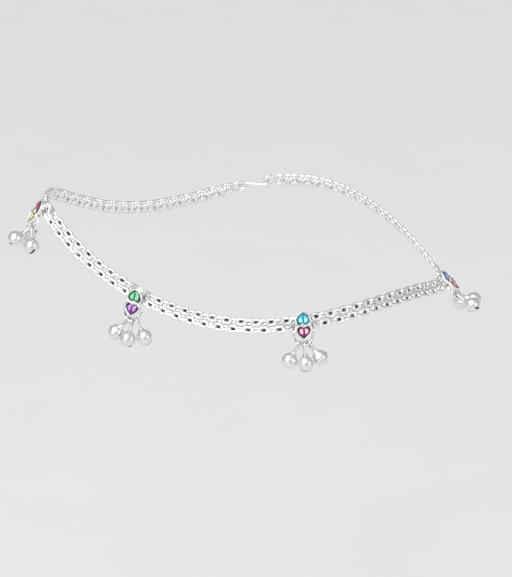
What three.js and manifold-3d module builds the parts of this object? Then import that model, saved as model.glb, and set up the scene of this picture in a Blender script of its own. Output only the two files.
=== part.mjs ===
// An anklet: a flat two-row chain with four enamelled double-heart plates set in it.
// Behind each plate hangs a ring with three small round bells.
// Millimetres. +X runs from the heel to the instep, -Y is the side that is seen, and +Z is up.
// The origin is the middle of the loop, where the ankle passes through.

import * as THREE from "three";
import { mergeVertices } from "three/addons/utils/BufferGeometryUtils.js";
import Module from "manifold-3d";

const wasm = await Module();
wasm.setup();

const degrees = THREE.MathUtils.degToRad;

// The loop of chain. Its route is a formula, scaled until it is as long as the chain.
const CHAIN_LENGTH = 254;
const LOOP_ASPECT = 0.49; // half width over half length, before the ankle gives it its shape
const ANKLE_SKEW = -0.09; // widens the half towards the instep
const END_NARROWING = -0.304; // draws both ends in, over the heel tendon and over the instep
const ANKLE_BULGE = 0.138; // moves the widest place to the ankle bones
const SLOPE_ALONG = 8.2; // degrees, the heel end sits higher than the instep end
const SLOPE_ACROSS = 12.5; // degrees, the far side sits higher than the side that is seen
const SAG_OF_SIDES = 0.035; // how far both sides hang below both ends, as a share of the half length
const SAG_TWIST = 0.077; // moves the lowest places of the sides towards the instep, same share

// How far the chain's face turns up from level: it lies flat on a leg that widens downwards
const LEAN_SIDES = 18;
const LEAN_HEEL = 28;
const LEAN_INSTEP = 45;

// The chain's own section
const CHAIN_WIDTH = 3.7;
const CHAIN_THICKNESS = 1.8;
const CHAIN_CORNER = 0.5;
const CHAIN_STEP = 3.2; // length of one straight step of the route
const END_GAP = 0.3; // between a chain end and the bar that it is linked to

// The double-heart plates
const PLATE_WIDTH = 4;
const PLATE_HEIGHT = 6.9;
const PLATE_THICKNESS = 0.8;
const PLATE_STANDOFF = 0.2; // between the chain's front and the plate's back
const HEART_OVERLAP = 0.3; // how far the lobes of the two hearts run into each other
const UPPER_FULLNESS = 0.62; // how round a heart's flanks are: the upper heart is the plump one
const LOWER_FULLNESS = 0.36;
const WAIST_WIDTH = 1.5;
const WAIST_HEIGHT = 1.5;
const ENAMEL_RIM = 0.42; // silver left around each pool of enamel
const ENAMEL_DEPTH = 0.3;
const ENAMEL_PROUD = 0.12;
const ENAMEL_PLAY = 0.06;

// The bar soldered behind each plate, which the chain ends are linked to
const BAR_OVERHANG = 0.15; // beyond the plate, or more where the ring needs the room between the chain ends
const BAR_HEIGHT = 2;
const BAR_TOP_INSET = 0.15; // from the chain's upper edge down to the bar's top
const BAR_BACK = 0.5; // how far the bar reaches behind the chain's middle

// The eye soldered behind each plate, and the ring that hangs in it
const RING_RADIUS = 2.26; // to the middle of the wire
const RING_WIRE = 0.68;
const EYE_PLAY = 0.14; // around the ring's wire
const EYE_WALL = 0.33;
const EYE_LENGTH = 0.6;
const EYE_BELOW_WAIST = 0.25;

// The bells
const BELL_RADIUS = 1.9;
const FANNED_RADIUS = 1.9; // the bell size that the fans of the stations below are for
const BELL_WALL = 0.4;
const BELL_RIM_PROUD = 0.1;
const BELL_RIM_HEIGHT = 0.4;
const BELL_NECK_RADIUS = 0.45;
const BELL_NECK_HEIGHT = 0.5;
const BELL_SLIT = 0.5;
const BELL_SLIT_REACH = 0.6; // how far down the bell the slit starts, as a share of its radius
const LOOP_WIRE = 0.5;
const LOOP_WIDTH = 2.1;
const LOOP_PLAY = 0.11; // between the bell's loop and the ring's wire
const LOOP_REACH = 2.5; // from the top of the round bell up to the middle of the ring's wire

// The plain hook on the far side that closes the loop, and the end eyes that it passes through
const CLASP_PLACE = 0.75; // share of the loop, from the heel
const HOOK_WIRE = 0.8;
const END_EYE_WIRE = 0.7;
const END_EYE_RADIUS = 1.45; // to the middle of the wire
const HOOK_PLAY = 0.35; // between the hook and the end eye's wire
const HOOK_REACH = 2.6; // from the middle of the hook to each end eye's wire

// One row for each plate, from the heel round the side that is seen to the instep.
// place: share of the loop from the heel tip; drop: how far the plate's middle lies below the
// chain's middle, as a share of the plate's height. The angles are in degrees.
// yaw: the plate's turn about the chain's width; turn: its turn in its own plane.
// hang: how much steeper than the plate the ring hangs. fan and swing: each bell's direction,
// sideways and outwards from the ring; twist: the bell's turn about its own axis.
const STATIONS = [
  {
    place: 0.0133, yaw: -21, drop: 0.36, turn: 14, hang: 11,
    fan: { left: -24, middle: 2, right: 50 },
    swing: { left: -6, middle: 40, right: 0 },
    twist: { left: -15, middle: 0, right: 15 },
    upper: 0x8c1232, lower: 0xd3d98a,
  },
  {
    place: 0.1435, yaw: 0, drop: 0.28, turn: 10, hang: 6,
    fan: { left: -28, middle: 7, right: 43 },
    swing: { left: 6, middle: 22, right: 8 },
    twist: { left: -26, middle: 3, right: 24 },
    upper: 0x0f8a57, lower: 0x7b2a94,
  },
  {
    place: 0.3071, yaw: 0, drop: 0.09, turn: -4, hang: 11,
    fan: { left: -33, middle: 0, right: 34 },
    swing: { left: 2, middle: 25, right: 0 },
    twist: { left: -26, middle: 4, right: 26 },
    upper: 0x2fb4c8, lower: 0xa02a72,
  },
  {
    place: 0.5, yaw: 0, drop: 0.17, turn: -2, hang: 12,
    fan: { left: -30, middle: 12, right: 32 },
    swing: { left: 42, middle: 38, right: -16 },
    twist: { left: -8, middle: 0, right: 0 },
    upper: 0x2446a6, lower: 0xb9304f,
  },
];

const SILVER = 0xe9e7e2;

// Sizes that follow from the ones above
const barLength = Math.max(PLATE_WIDTH + 2 * BAR_OVERHANG, 2 * RING_RADIUS - END_GAP);
const fanSpread = BELL_RADIUS / FANNED_RADIUS;
const plateBack = CHAIN_THICKNESS / 2 + PLATE_STANDOFF;
const heartWidth = PLATE_WIDTH;
const heartHeight = (PLATE_HEIGHT + HEART_OVERLAP) / 2;
const heartMiddle = (PLATE_HEIGHT - heartHeight) / 2;
const eyeHole = RING_WIRE / 2 + EYE_PLAY;
const hookRadius = END_EYE_WIRE / 2 + HOOK_PLAY + HOOK_WIRE / 2;
const claspEnd = HOOK_REACH + 2 * END_EYE_RADIUS;

// The route of the chain, with t from 0 at the heel tip, past the near side, and round
class AnkleLoop extends THREE.Curve {
  constructor() {
    super();
    this.arcLengthDivisions = 1440;
    this.halfLength = 1;
    this.halfLength = CHAIN_LENGTH / this.getLength();
    this.updateArcLengths();
  }

  getPoint(t, target = new THREE.Vector3()) {
    const turn = 2 * Math.PI * t;
    const narrowing = ANKLE_SKEW * Math.cos(turn) + END_NARROWING * Math.cos(2 * turn);
    const shape = 1 + narrowing + ANKLE_BULGE * Math.cos(3 * turn);
    const x = -Math.cos(turn);
    const y = -LOOP_ASPECT * Math.sin(turn) * shape;
    const slope = -Math.tan(degrees(SLOPE_ALONG)) * x + Math.tan(degrees(SLOPE_ACROSS)) * y;
    const z = slope + SAG_OF_SIDES * Math.cos(2 * turn) + SAG_TWIST * Math.cos(3 * turn);
    return target.set(x, y, z).multiplyScalar(this.halfLength);
  }

  // The chain's face turns up by this much, through the named leans at the heel, sides and instep
  leanAt(t) {
    const turn = 2 * Math.PI * t;
    const ends = (LEAN_HEEL + LEAN_INSTEP) / 2;
    const middle = (ends + LEAN_SIDES) / 2;
    const alternate = (ends - LEAN_SIDES) / 2;
    const oneEnd = (LEAN_HEEL - LEAN_INSTEP) / 2;
    return degrees(middle + oneEnd * Math.cos(turn) + alternate * Math.cos(2 * turn));
  }

  // Place and directions at a share of the length: along the chain, up its width, out of its face
  frameAt(share) {
    const wrapped = share - Math.floor(share);
    const t = this.getUtoTmapping(wrapped);
    const along = this.getTangentAt(wrapped);
    const level = new THREE.Vector3().crossVectors(along, new THREE.Vector3(0, 0, 1)).normalize();
    const rise = new THREE.Vector3().crossVectors(level, along);
    const lean = this.leanAt(t);
    const out = level.clone().multiplyScalar(Math.cos(lean)).addScaledVector(rise, Math.sin(lean));
    const up = new THREE.Vector3().crossVectors(out, along);
    return { place: this.getPointAt(wrapped), along, up, out };
  }
}

const loop = new AnkleLoop();

// A stretch of the loop, with the directions that keep the flat chain's face outwards
class ChainRoute extends THREE.Curve {
  constructor(from, to) {
    super();
    this.from = from;
    this.to = to;
  }

  shareAt(t) {
    return this.from + t * (this.to - this.from);
  }

  getPoint(t) {
    return loop.frameAt(this.shareAt(t)).place;
  }

  computeFrenetFrames(segments) {
    const frames = { tangents: [], normals: [], binormals: [] };
    for (let step = 0; step <= segments; step++) {
      const { along, up, out } = loop.frameAt(this.shareAt(step / segments));
      frames.tangents.push(along);
      frames.normals.push(up);
      frames.binormals.push(out);
    }
    return frames;
  }
}

// A closed three.js geometry as a solid that can be joined and cut
function solidOf(geometry) {
  const bare = geometry.clone();
  bare.deleteAttribute("normal");
  bare.deleteAttribute("uv");
  const merged = mergeVertices(bare, 1e-5);
  const triangles = [];
  for (let i = 0; i < merged.index.count; i += 3) {
    const corners = [merged.index.getX(i), merged.index.getX(i + 1), merged.index.getX(i + 2)];
    if (new Set(corners).size === 3) {
      triangles.push(...corners);
    }
  }
  const vertProperties = new Float32Array(merged.attributes.position.array);
  const triVerts = new Uint32Array(triangles);
  return new wasm.Manifold(new wasm.Mesh({ numProp: 3, vertProperties, triVerts }));
}

function geometryOf(solid) {
  const mesh = solid.getMesh();
  const geometry = new THREE.BufferGeometry();
  geometry.setAttribute("position", new THREE.BufferAttribute(new Float32Array(mesh.vertProperties), 3));
  geometry.setIndex(new THREE.BufferAttribute(new Uint32Array(mesh.triVerts), 1));
  geometry.computeVertexNormals();
  return geometry;
}

function piece(name, geometry, color, finish = { metalness: 1, roughness: 0.22 }) {
  const mesh = new THREE.Mesh(geometry, new THREE.MeshStandardMaterial({ color, ...finish }));
  mesh.name = name;
  return mesh;
}

// A group that stands at a place on the loop: x along the chain, y up its width, z outwards
function groupAt(share, yaw = 0) {
  const { place, along, up, out } = loop.frameAt(share);
  const group = new THREE.Group();
  group.quaternion.setFromRotationMatrix(new THREE.Matrix4().makeBasis(along, up, out));
  group.rotateY(degrees(yaw));
  group.position.copy(place);
  group.updateMatrix();
  return group;
}

// The flat chain's section, x up its width and y through its thickness, with its corners cut
function chainSection() {
  const halfWidth = CHAIN_WIDTH / 2;
  const halfThickness = CHAIN_THICKNESS / 2;
  const section = new THREE.Shape();
  section.moveTo(halfWidth, -halfThickness + CHAIN_CORNER);
  section.lineTo(halfWidth, halfThickness - CHAIN_CORNER);
  section.lineTo(halfWidth - CHAIN_CORNER, halfThickness);
  section.lineTo(-halfWidth + CHAIN_CORNER, halfThickness);
  section.lineTo(-halfWidth, halfThickness - CHAIN_CORNER);
  section.lineTo(-halfWidth, -halfThickness + CHAIN_CORNER);
  section.lineTo(-halfWidth + CHAIN_CORNER, -halfThickness);
  section.lineTo(halfWidth - CHAIN_CORNER, -halfThickness);
  section.closePath();
  return section;
}

function chainSolid(from, to) {
  const steps = Math.ceil(((to - from) * CHAIN_LENGTH) / CHAIN_STEP);
  const extrudePath = new ChainRoute(from, to);
  return solidOf(new THREE.ExtrudeGeometry(chainSection(), { steps, extrudePath, bevelEnabled: false }));
}

// The room that a plate's bar takes out of the chain, so that each chain end faces its bar squarely
function barRoom(station) {
  const room = new THREE.BoxGeometry(barLength + 2 * END_GAP, 3 * CHAIN_WIDTH, 3 * CHAIN_WIDTH);
  return solidOf(room.applyMatrix4(groupAt(station.place, station.yaw).matrix));
}

// A heart with its point down and its lobes up, about its middle. A full one has round flanks.
function heartShape(width, height, fullness) {
  const side = width / 2;
  const top = height / 2;
  const flank = side * fullness;
  const heart = new THREE.Shape();
  heart.moveTo(0, -top);
  heart.bezierCurveTo(flank, -top * 0.72, side, -top * 0.2, side, top * 0.4);
  heart.bezierCurveTo(side, top * 0.8, side * 0.76, top, side * 0.5, top);
  heart.bezierCurveTo(side * 0.22, top, 0, top * 0.84, 0, top * 0.62);
  heart.bezierCurveTo(0, top * 0.84, -side * 0.22, top, -side * 0.5, top);
  heart.bezierCurveTo(-side * 0.76, top, -side, top * 0.8, -side, top * 0.4);
  heart.bezierCurveTo(-side, -top * 0.2, -flank, -top * 0.72, 0, -top);
  return heart;
}

// A heart of some thickness at one end of a plate: the upper one stands on its head
function heartBlock(width, height, depth, back, isUpper) {
  const settings = { depth, bevelEnabled: false, curveSegments: 4 };
  const fullness = isUpper ? UPPER_FULLNESS : LOWER_FULLNESS;
  const block = new THREE.ExtrudeGeometry(heartShape(width, height, fullness), settings);
  if (isUpper) {
    block.rotateZ(Math.PI);
  }
  block.translate(0, isUpper ? heartMiddle : -heartMiddle, back);
  return block;
}

// Moves a shape of the plate's own plane to its place at the station
function settle(geometry, station) {
  geometry.rotateZ(degrees(station.turn));
  geometry.translate(0, -station.drop * PLATE_HEIGHT, 0);
  return geometry;
}

function enamelGeometry(station, isUpper) {
  const inset = 2 * (ENAMEL_RIM + ENAMEL_PLAY);
  const depth = ENAMEL_DEPTH + ENAMEL_PROUD - ENAMEL_PLAY;
  const back = plateBack + PLATE_THICKNESS - ENAMEL_DEPTH + ENAMEL_PLAY;
  return settle(heartBlock(heartWidth - inset, heartHeight - inset, depth, back, isUpper), station);
}

function recess(station, isUpper) {
  const inset = 2 * ENAMEL_RIM;
  const back = plateBack + PLATE_THICKNESS - ENAMEL_DEPTH;
  const block = heartBlock(heartWidth - inset, heartHeight - inset, PLATE_THICKNESS, back, isUpper);
  return solidOf(settle(block, station));
}

// A round bar along the plate's width, where the eye and its hole are
function acrossPlate(radius, length, station) {
  const rod = new THREE.CylinderGeometry(radius, radius, length, 12);
  rod.rotateZ(Math.PI / 2);
  rod.translate(0, -EYE_BELOW_WAIST, plateBack - eyeHole);
  return solidOf(settle(rod, station));
}

// The plate with its two hearts, waist, eye and linking bar, all soldered into one
function plateGeometry(station) {
  const upper = heartBlock(heartWidth, heartHeight, PLATE_THICKNESS, plateBack, true);
  const lower = heartBlock(heartWidth, heartHeight, PLATE_THICKNESS, plateBack, false);
  const waist = new THREE.BoxGeometry(WAIST_WIDTH, WAIST_HEIGHT, PLATE_THICKNESS);
  waist.translate(0, 0, plateBack + PLATE_THICKNESS / 2);
  const barDepth = BAR_BACK + plateBack + PLATE_THICKNESS / 4;
  const bar = new THREE.BoxGeometry(barLength, BAR_HEIGHT, barDepth);
  const barMiddle = CHAIN_WIDTH / 2 - BAR_TOP_INSET - BAR_HEIGHT / 2;
  bar.translate(0, barMiddle, barDepth / 2 - BAR_BACK);
  const blanks = [upper, lower, waist].map((blank) => solidOf(settle(blank, station)));
  let plate = solidOf(bar).add(acrossPlate(eyeHole + EYE_WALL, EYE_LENGTH, station));
  for (const blank of blanks) {
    plate = plate.add(blank);
  }
  plate = plate.subtract(acrossPlate(eyeHole, PLATE_WIDTH, station));
  plate = plate.subtract(recess(station, true)).subtract(recess(station, false));
  return geometryOf(plate);
}

// A round hollow bell on the y axis, about the middle of its ball, with its loop in the y-z plane
function bellGeometry() {
  const profile = [new THREE.Vector2(0, -BELL_RADIUS)];
  const arc = (latitude) => {
    const angle = degrees(latitude);
    profile.push(new THREE.Vector2(BELL_RADIUS * Math.cos(angle), BELL_RADIUS * Math.sin(angle)));
  };
  [-58, -30].forEach(arc);
  profile.push(new THREE.Vector2(BELL_RADIUS + BELL_RIM_PROUD, -BELL_RIM_HEIGHT / 2));
  profile.push(new THREE.Vector2(BELL_RADIUS + BELL_RIM_PROUD, BELL_RIM_HEIGHT / 2));
  [30, 58].forEach(arc);
  const neckTop = BELL_RADIUS + BELL_NECK_HEIGHT;
  profile.push(new THREE.Vector2(BELL_NECK_RADIUS, neckTop));
  profile.push(new THREE.Vector2(0, neckTop));
  const ball = new THREE.LatheGeometry(profile, 10);

  const hollow = new THREE.SphereGeometry(BELL_RADIUS - BELL_WALL, 8, 5);
  const slitHeight = BELL_RADIUS;
  const slit = new THREE.BoxGeometry(4 * BELL_RADIUS, slitHeight, BELL_SLIT);
  slit.translate(0, -BELL_RADIUS * BELL_SLIT_REACH - slitHeight / 2, 0);

  const loopRadius = (LOOP_WIDTH - LOOP_WIRE) / 2;
  const loopTop = BELL_RADIUS + LOOP_REACH + RING_WIRE / 2 + LOOP_PLAY + LOOP_WIRE / 2;
  const foot = BELL_RADIUS + BELL_NECK_HEIGHT / 3;
  const points = [new THREE.Vector3(0, foot, -BELL_NECK_RADIUS / 3)];
  for (let angle = -120; angle <= 120; angle += 30) {
    const y = loopTop - loopRadius + loopRadius * Math.cos(degrees(angle));
    points.push(new THREE.Vector3(0, y, loopRadius * Math.sin(degrees(angle))));
  }
  points.push(new THREE.Vector3(0, foot, BELL_NECK_RADIUS / 3));
  const eye = wireGeometry(points, LOOP_WIRE, 11, 5);
  return geometryOf(solidOf(ball).subtract(solidOf(hollow)).subtract(solidOf(slit)).add(solidOf(eye)));
}

// A round wire bent smoothly through a few points
function wireGeometry(points, diameter, steps, sides) {
  const section = new THREE.Shape();
  for (let side = 0; side < sides; side++) {
    const angle = (2 * Math.PI * side) / sides;
    const corner = [(diameter / 2) * Math.cos(angle), (diameter / 2) * Math.sin(angle)];
    if (side === 0) {
      section.moveTo(...corner);
    } else {
      section.lineTo(...corner);
    }
  }
  section.closePath();
  const extrudePath = new THREE.CatmullRomCurve3(points);
  return new THREE.ExtrudeGeometry(section, { steps, extrudePath, bevelEnabled: false });
}

// The closing hook: one S of wire that curls round the wire of each end eye
function hookGeometry() {
  const points = [];
  for (let angle = 50; angle <= 270; angle += 44) {
    const x = -HOOK_REACH + hookRadius * Math.cos(degrees(angle));
    points.push(new THREE.Vector3(x, 0, hookRadius * Math.sin(degrees(angle))));
  }
  const otherHalf = points.map((point) => point.clone().negate()).reverse();
  return wireGeometry([...points, ...otherHalf], HOOK_WIRE, 24, 7);
}

// The ring soldered on a chain end for the hook, on the side given by its sign
function endEye(clasp, side) {
  const eye = new THREE.TorusGeometry(END_EYE_RADIUS, END_EYE_WIRE / 2, 6, 14);
  eye.translate(side * (HOOK_REACH + END_EYE_RADIUS), 0, 0);
  eye.applyMatrix4(clasp.matrix);
  return solidOf(eye);
}

function stationGroup(station, number, bell) {
  const group = groupAt(station.place, station.yaw);
  const enamel = { metalness: 0, roughness: 0.12 };
  group.add(piece(`heart_plate_${number}`, plateGeometry(station), SILVER));
  group.add(piece(`enamel_upper_${number}`, enamelGeometry(station, true), station.upper, enamel));
  group.add(piece(`enamel_lower_${number}`, enamelGeometry(station, false), station.lower, enamel));

  const plateMiddle = new THREE.Group();
  plateMiddle.position.y = -station.drop * PLATE_HEIGHT;
  plateMiddle.rotation.z = degrees(station.turn);
  group.add(plateMiddle);
  const hanging = new THREE.Group();
  hanging.position.set(0, -EYE_BELOW_WAIST, plateBack - eyeHole);
  hanging.rotation.x = degrees(station.hang);
  plateMiddle.add(hanging);
  const ringMiddle = new THREE.Group();
  ringMiddle.position.y = -RING_RADIUS;
  hanging.add(ringMiddle);
  const ring = new THREE.TorusGeometry(RING_RADIUS, RING_WIRE / 2, 7, 18);
  ringMiddle.add(piece(`jump_ring_${number}`, ring, SILVER));

  for (const side of ["left", "middle", "right"]) {
    const fan = new THREE.Group();
    fan.rotation.z = degrees(station.fan[side] * fanSpread);
    ringMiddle.add(fan);
    const swing = new THREE.Group();
    swing.position.y = -RING_RADIUS;
    swing.rotation.x = -degrees(station.swing[side]);
    fan.add(swing);
    const ball = piece(`bell_${number}_${side}`, bell, SILVER);
    ball.position.y = -BELL_RADIUS - LOOP_REACH;
    ball.rotation.y = degrees(station.twist[side]);
    swing.add(ball);
  }
  return group;
}

const anklet = new THREE.Group();
const bell = bellGeometry();
STATIONS.forEach((station, index) => anklet.add(stationGroup(station, index + 1, bell)));

// The three chain lengths between the plates
for (let number = 1; number < STATIONS.length; number++) {
  const [before, after] = [STATIONS[number - 1], STATIONS[number]];
  const length = chainSolid(before.place, after.place).subtract(barRoom(before)).subtract(barRoom(after));
  anklet.add(piece(`chain_length_${number}`, geometryOf(length), SILVER));
}

// The two lengths that run round the back to the hook, each with its end eye soldered on
const clasp = groupAt(CLASP_PLACE);
clasp.add(piece("clasp_hook", hookGeometry(), SILVER));
anklet.add(clasp);
const [heelStation, instepStation] = [STATIONS[0], STATIONS[STATIONS.length - 1]];
const claspShare = claspEnd / CHAIN_LENGTH;
const instepBack = chainSolid(instepStation.place, CLASP_PLACE - claspShare);
const heelBack = chainSolid(CLASP_PLACE + claspShare, 1 + heelStation.place);
const instepLength = instepBack.subtract(barRoom(instepStation)).add(endEye(clasp, -1));
const heelLength = heelBack.subtract(barRoom(heelStation)).add(endEye(clasp, 1));
anklet.add(piece("chain_length_4", geometryOf(instepLength), SILVER));
anklet.add(piece("chain_length_5", geometryOf(heelLength), SILVER));

export default anklet;
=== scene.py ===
# %% [markdown]
# A silver anklet with enamelled hearts and little bells
#
# The real thing is a flat chain of two rows of links. Four plates, each of two enamelled
# hearts, interrupt it, and a ring with three small round bells hangs behind each plate.
# The CAD model gives the places and sizes. Here every plain CAD piece gets a finer one that
# stands for it. Modelling each link by hand would take days and drift from the CAD model, so
# every piece is worked out with numpy as a whole array of points and put into a mesh at once.

import bpy
import numpy as np
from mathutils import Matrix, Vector


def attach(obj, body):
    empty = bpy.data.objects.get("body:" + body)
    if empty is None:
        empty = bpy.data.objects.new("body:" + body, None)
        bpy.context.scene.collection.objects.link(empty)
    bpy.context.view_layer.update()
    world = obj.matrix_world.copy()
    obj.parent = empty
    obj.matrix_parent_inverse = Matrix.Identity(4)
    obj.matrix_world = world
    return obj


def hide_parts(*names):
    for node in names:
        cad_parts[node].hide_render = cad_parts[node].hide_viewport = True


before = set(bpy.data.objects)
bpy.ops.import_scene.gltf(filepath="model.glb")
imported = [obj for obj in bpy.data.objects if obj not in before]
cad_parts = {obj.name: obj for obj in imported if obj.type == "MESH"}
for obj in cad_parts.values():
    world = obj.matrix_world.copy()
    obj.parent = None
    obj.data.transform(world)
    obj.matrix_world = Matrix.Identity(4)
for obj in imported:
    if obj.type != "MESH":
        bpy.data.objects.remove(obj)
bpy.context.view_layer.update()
MM = 0.001


# %% [markdown]
# The route of the chain
#
# A worn chain isn't a circle: it is narrow at its two ends and wide between them, and it
# slopes. A curve drawn by hand could follow that, but it would meet the CAD chain only roughly.
# One closed formula in a single turning angle gives it all, and it is the formula that the CAD
# model uses, so each link lands on the CAD chain. A table of the route by its length turns "so
# many millimetres along" into a place.

# %% The route as arrays
CHAIN_LENGTH = 254.0
LOOP_ASPECT = 0.49
WIDTH_SKEW, END_NARROWING, WIDTH_BULGE = -0.09, -0.304, 0.138
SLOPE_ALONG, SLOPE_ACROSS = np.radians(8.2), np.radians(12.5)
SAG_OF_SIDES, SAG_TWIST = 0.035, 0.077
ROUTE_STEPS = 5760
UP = np.array([0.0, 0.0, 1.0])


def unit(vectors):
    """Each vector divided by its own length."""
    return vectors / np.linalg.norm(vectors, axis=-1, keepdims=True)


def loop_shape(turn):
    """x goes as minus the cosine of the turn and y as minus its sine, widened or narrowed by
    the cosines of one, two and three times the turn; z is two slopes and two sags."""
    width = 1 + WIDTH_SKEW * np.cos(turn) + END_NARROWING * np.cos(2 * turn)
    width = width + WIDTH_BULGE * np.cos(3 * turn)
    x = -np.cos(turn)
    y = -LOOP_ASPECT * np.sin(turn) * width
    z = -np.tan(SLOPE_ALONG) * x + np.tan(SLOPE_ACROSS) * y
    z = z + SAG_OF_SIDES * np.cos(2 * turn) + SAG_TWIST * np.cos(3 * turn)
    return np.stack([x, y, z], axis=-1)


turns = np.linspace(0, 2 * np.pi, ROUTE_STEPS + 1)
points = loop_shape(turns)
travelled = np.concatenate([[0], np.cumsum(np.linalg.norm(np.diff(points, axis=0), axis=1))])
half_length = CHAIN_LENGTH / travelled[-1]
travelled = travelled * half_length
points = points * half_length
print("loop:", np.round(np.ptp(points, axis=0), 1), "mm, half length", round(half_length, 2))


# %% [markdown]
# At each place the chain has three directions: along itself, up its width, and out of its
# face. The face leans back, as on a cone that widens downwards, and most at the loop's far end.
# Blender's own curves would choose their twist by themselves. Working the directions out here
# lets the lean be set in degrees, with a value of its own for each end and for the sides.

# %% Directions along the route
LEAN_SIDES, LEAN_START, LEAN_FAR_END = 18.0, 28.0, 45.0
SMALL_TURN = 1e-4


def route_frame(distance):
    """Place and directions at distances along the chain. Level is the sideways direction that
    lies flat, rise completes it, and the face is level turned up by the lean."""
    turn = np.interp(np.asarray(distance, float) % CHAIN_LENGTH, travelled, turns)
    place = loop_shape(turn) * half_length
    along = unit(loop_shape(turn + SMALL_TURN) - loop_shape(turn - SMALL_TURN))
    level = unit(np.cross(along, UP))
    rise = np.cross(level, along)
    ends = (LEAN_START + LEAN_FAR_END) / 2
    lean = (ends + LEAN_SIDES) / 2 + (LEAN_START - LEAN_FAR_END) / 2 * np.cos(turn)
    lean = np.radians(lean + (ends - LEAN_SIDES) / 2 * np.cos(2 * turn))[..., None]
    out = level * np.cos(lean) + rise * np.sin(lean)
    return place, along, np.cross(out, along), out


def on_chain(local):
    """A point given as distance along the chain, height up its width and depth out of its face
    becomes place + height x up + depth x out."""
    place, _, up, out = route_frame(local[..., 0])
    return place + local[..., 1:2] * up + local[..., 2:3] * out


quarters = CHAIN_LENGTH * np.arange(4) / 4
print("height at each quarter of the loop:", np.round(route_frame(quarters)[0][:, 2], 1), "mm")


# %% [markdown]
# A plate, a ring and a bell each hang from the piece before. Parent objects could carry them,
# but every finished piece has to sit unturned at the origin. So a place with its own
# directions is a small class here: it is moved and turned in its own axes, and it carries an
# array of points to the anklet's frame in one step.

# %% Poses
def turned(axis, degrees):
    """The matrix that turns by an angle about one axis: two rows hold its cosine and sine."""
    c, s = np.cos(np.radians(degrees)), np.sin(np.radians(degrees))
    rows = {
        "x": [[1, 0, 0], [0, c, -s], [0, s, c]],
        "y": [[c, 0, s], [0, 1, 0], [-s, 0, c]],
        "z": [[c, -s, 0], [s, c, 0], [0, 0, 1]],
    }
    return np.array(rows[axis], float)


class Pose:
    """A place and three directions. point() gives place + directions x local point."""

    def __init__(self, place, axes):
        self.place, self.axes = np.asarray(place, float), np.asarray(axes, float)

    def moved(self, x, y, z):
        """The same directions at a place that is given along them."""
        return Pose(self.point(np.array([x, y, z], float)), self.axes)

    def turned(self, axis, degrees):
        """The same place with directions x the matrix of the turn."""
        return Pose(self.place, self.axes @ turned(axis, degrees))

    def point(self, local):
        return self.place + local @ self.axes.T


def pose_on_chain(distance):
    """The route's place, with the directions along, up and out as the columns of its axes."""
    place, along, up, out = route_frame(distance)
    return Pose(place, np.stack([along, up, out], axis=1))


print("the chain's face at its start looks towards", np.round(pose_on_chain(0.0).axes[:, 2], 2))


# %% [markdown]
# Making meshes
#
# Blender's ready-made rings and spheres could be bent and joined, but each would need its own
# clearing up. Here every shape is a grid of points: rows follow one parameter and columns the
# other, and four neighbours make a face. The columns close round, as on a tube. The rows may
# too, as on a ring, or each end gets one flat face, so that every surface is closed. The shapes
# of one piece are gathered in a Shell, which keeps one more number for each point: on silver,
# how much painted shade it gets in a recess, and on enamel, its share of the way out
# to the outline.

# %% Grids and shells
def grid_faces(rows, columns, wrap_rows=False):
    """Point (r, c) has number r x columns + c, and a face joins (r, c), (r, c+1), (r+1, c+1)
    and (r+1, c), in the order that makes a tube face outwards."""
    c = np.arange(columns)
    after_c = (c + 1) % columns
    r = np.arange(rows if wrap_rows else rows - 1)[:, None] * columns
    after_r = (r + columns) % (rows * columns)
    return np.stack([r + c, r + after_c, after_r + after_c, after_r + c], axis=-1).reshape(-1, 4)


def end_faces(rows, columns):
    """One flat face over the first row and one over the last, both facing outwards."""
    return [np.arange(columns)[::-1], np.arange(columns) + (rows - 1) * columns]


class Shell:
    """Gathers points, faces, recess depths and UV places of the shapes of one piece."""

    def __init__(self):
        self.points, self.faces, self.depths, self.places, self.count = [], [], [], [], 0

    def add(self, points, faces, depth=0.0, place=None):
        """Adds points, and faces whose numbers start from the first of these points."""
        points = points.reshape(-1, 3)
        self.points.append(points)
        self.faces.extend((np.asarray(f) + self.count).tolist() for f in faces)
        self.depths.append(np.broadcast_to(np.asarray(depth, float).ravel(), len(points)))
        self.places.append(np.zeros((len(points), 2)) if place is None else place.reshape(-1, 2))
        self.count += len(points)

    def add_grid(self, grid, depth=0.0, wrap_rows=False, place=None):
        """Adds a grid of points, with a flat face over each open end."""
        rows, columns = grid.shape[:2]
        faces = list(grid_faces(rows, columns, wrap_rows))
        self.add(grid, faces if wrap_rows else faces + end_faces(rows, columns), depth, place)


print("side faces on a tube of 3 rows and 4 columns:", len(grid_faces(3, 4)))


# %% [markdown]
# A shell becomes a Blender object in one way for all pieces. It could be placed as an object,
# but the export bakes every object at the origin, so its place is in its mesh. Faces are smooth
# except over sharp edges, the piece is parented to the body it rides on, the CAD node it stands
# for is hidden, and it gets its finish.

# %% From a shell to a finished piece
def finished(node, kind, shell, material, sharp=40.0):
    """Points times a millimetre make the mesh; edges sharper than an angle in degrees stay so."""
    mesh = bpy.data.meshes.new(f"{node}_{kind}")
    corners = np.concatenate(shell.points) * MM
    mesh.from_pydata(corners.tolist(), [], shell.faces)
    # The recess attribute holds the painted shade of silver pieces and the share outwards of enamel.
    depth = mesh.attributes.new("recess", "FLOAT", "POINT")
    depth.data.foreach_set("value", np.concatenate(shell.depths).astype(np.float32))
    corner_points = np.empty(len(mesh.loops), np.int32)
    mesh.loops.foreach_get("vertex_index", corner_points)
    layer = mesh.uv_layers.new(name="UVMap")
    layer.data.foreach_set("uv", np.concatenate(shell.places)[corner_points].astype(np.float32).ravel())
    mesh.polygons.foreach_set("use_smooth", np.ones(len(mesh.polygons), bool))
    mesh.update()
    mesh.set_sharp_from_angle(angle=np.radians(sharp))
    mesh.materials.append(material)
    piece = bpy.data.objects.new(mesh.name, mesh)
    bpy.context.scene.collection.objects.link(piece)
    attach(piece, "root")
    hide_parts(node)
    return piece
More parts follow.
